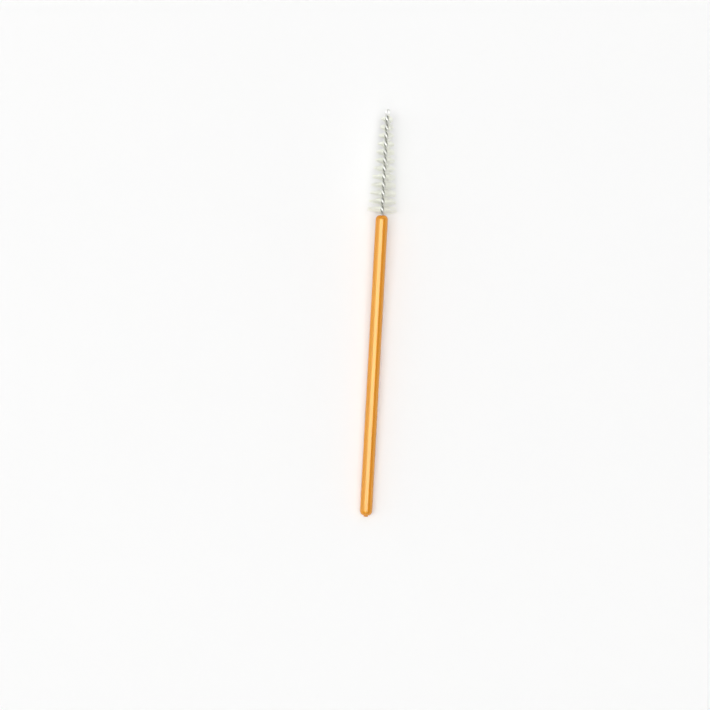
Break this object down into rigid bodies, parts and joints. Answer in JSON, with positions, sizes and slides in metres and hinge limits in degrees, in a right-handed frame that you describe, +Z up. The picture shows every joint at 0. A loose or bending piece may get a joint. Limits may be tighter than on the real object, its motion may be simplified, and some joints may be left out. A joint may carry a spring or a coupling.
{
  "type": "mascara wand",
  "caption": "Small disposable lash wand: a slim gold plastic rod with a conical brush of clear bristles held in a twisted folded wire.",
  "frame": {"origin": "bottom centre of the part's box as the wand lies on a table, resting on the butt end of its handle and on its widest bristles", "axes": "+Y along the wand towards its tip, +Z up, +X to the right with the tip pointing away"},
  "size_m": [0.0074, 0.1, 0.0075],
  "materials": {
    "gold_plastic": "pearl gold moulded plastic, glossy, with fine mica streaks along the rod",
    "steel": "bright drawn steel wire",
    "clear_nylon": "clear, slightly milky nylon filament"
  },
  "bodies": {
    "root": {"handle": "gold_plastic", "twisted_wire": "steel", "bristle_row_01": "clear_nylon", "bristle_row_02": "clear_nylon", "bristle_row_03": "clear_nylon", "bristle_row_04": "clear_nylon", "bristle_row_05": "clear_nylon", "bristle_row_06": "clear_nylon", "bristle_row_07": "clear_nylon", "bristle_row_08": "clear_nylon", "bristle_row_09": "clear_nylon", "bristle_row_10": "clear_nylon", "bristle_row_11": "clear_nylon", "bristle_row_12": "clear_nylon"}
  },
  "joints": []
}
